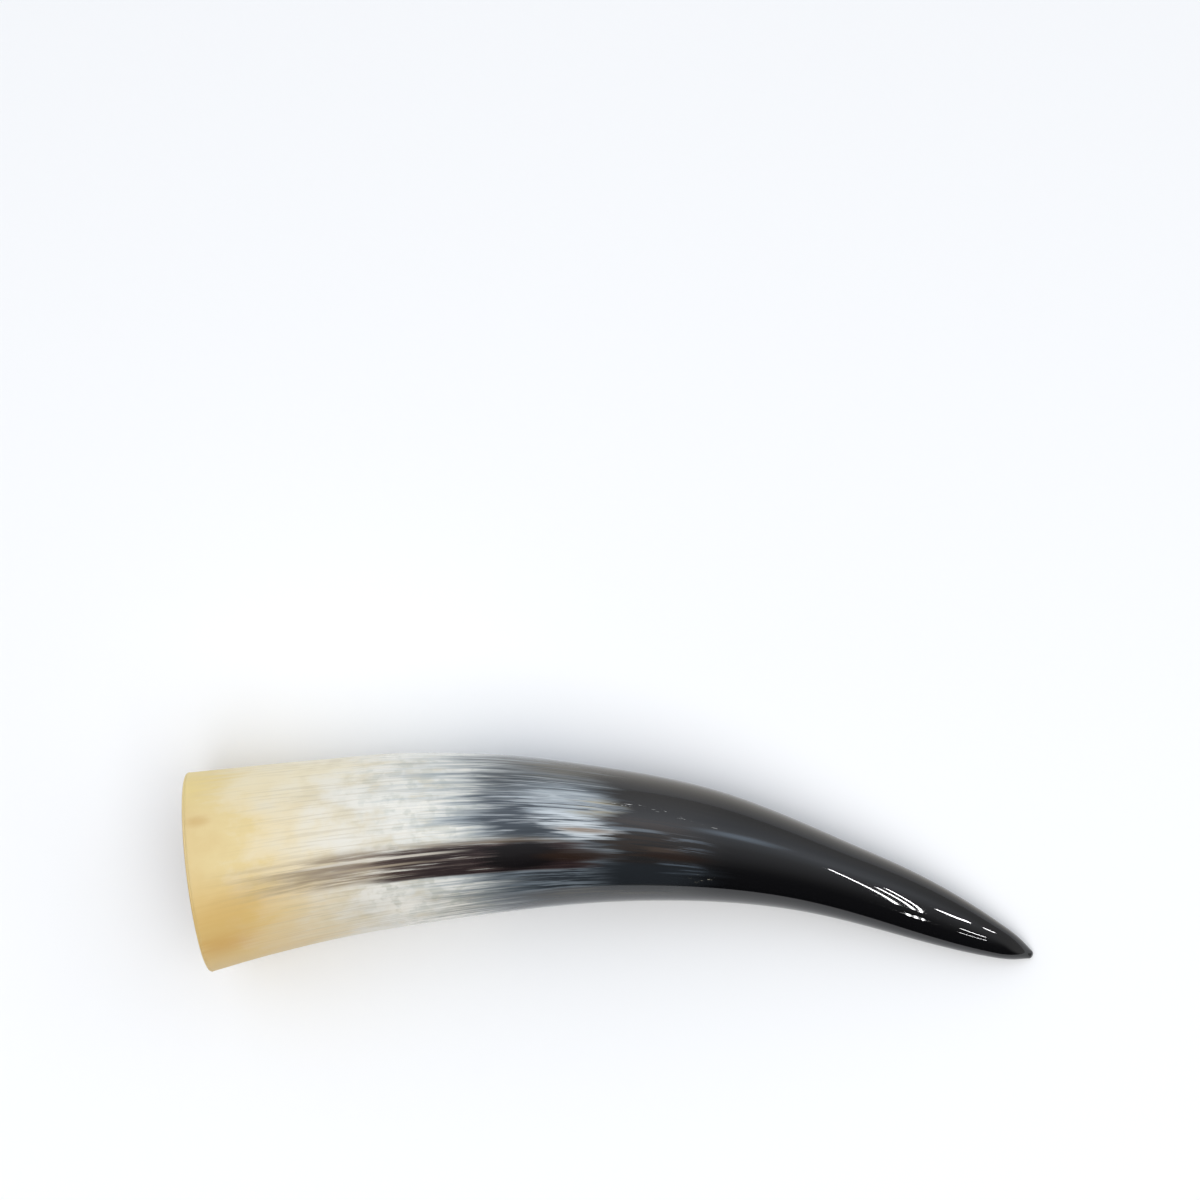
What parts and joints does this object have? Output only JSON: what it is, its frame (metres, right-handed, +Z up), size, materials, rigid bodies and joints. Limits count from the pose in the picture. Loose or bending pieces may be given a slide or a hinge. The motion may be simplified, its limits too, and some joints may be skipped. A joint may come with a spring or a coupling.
{
  "type": "polished cow horn",
  "caption": "Curved hollow cow horn with a polished skin, honey and ivory at its sawn base, smoky grey in the middle and black to the tip, lying on its side as a natural ornament.",
  "frame": {"origin": "under the middle of the horn's box, on the surface that the horn lies on", "axes": "+X from the sawn base towards the tip, +Y towards the outer side of the bend, +Z up"},
  "size_m": [0.3004, 0.0762, 0.0642],
  "materials": {
    "horn_keratin": "hand-polished natural keratin, honey base to black tip"
  },
  "bodies": {
    "root": {"horn": "horn_keratin"}
  },
  "joints": []
}
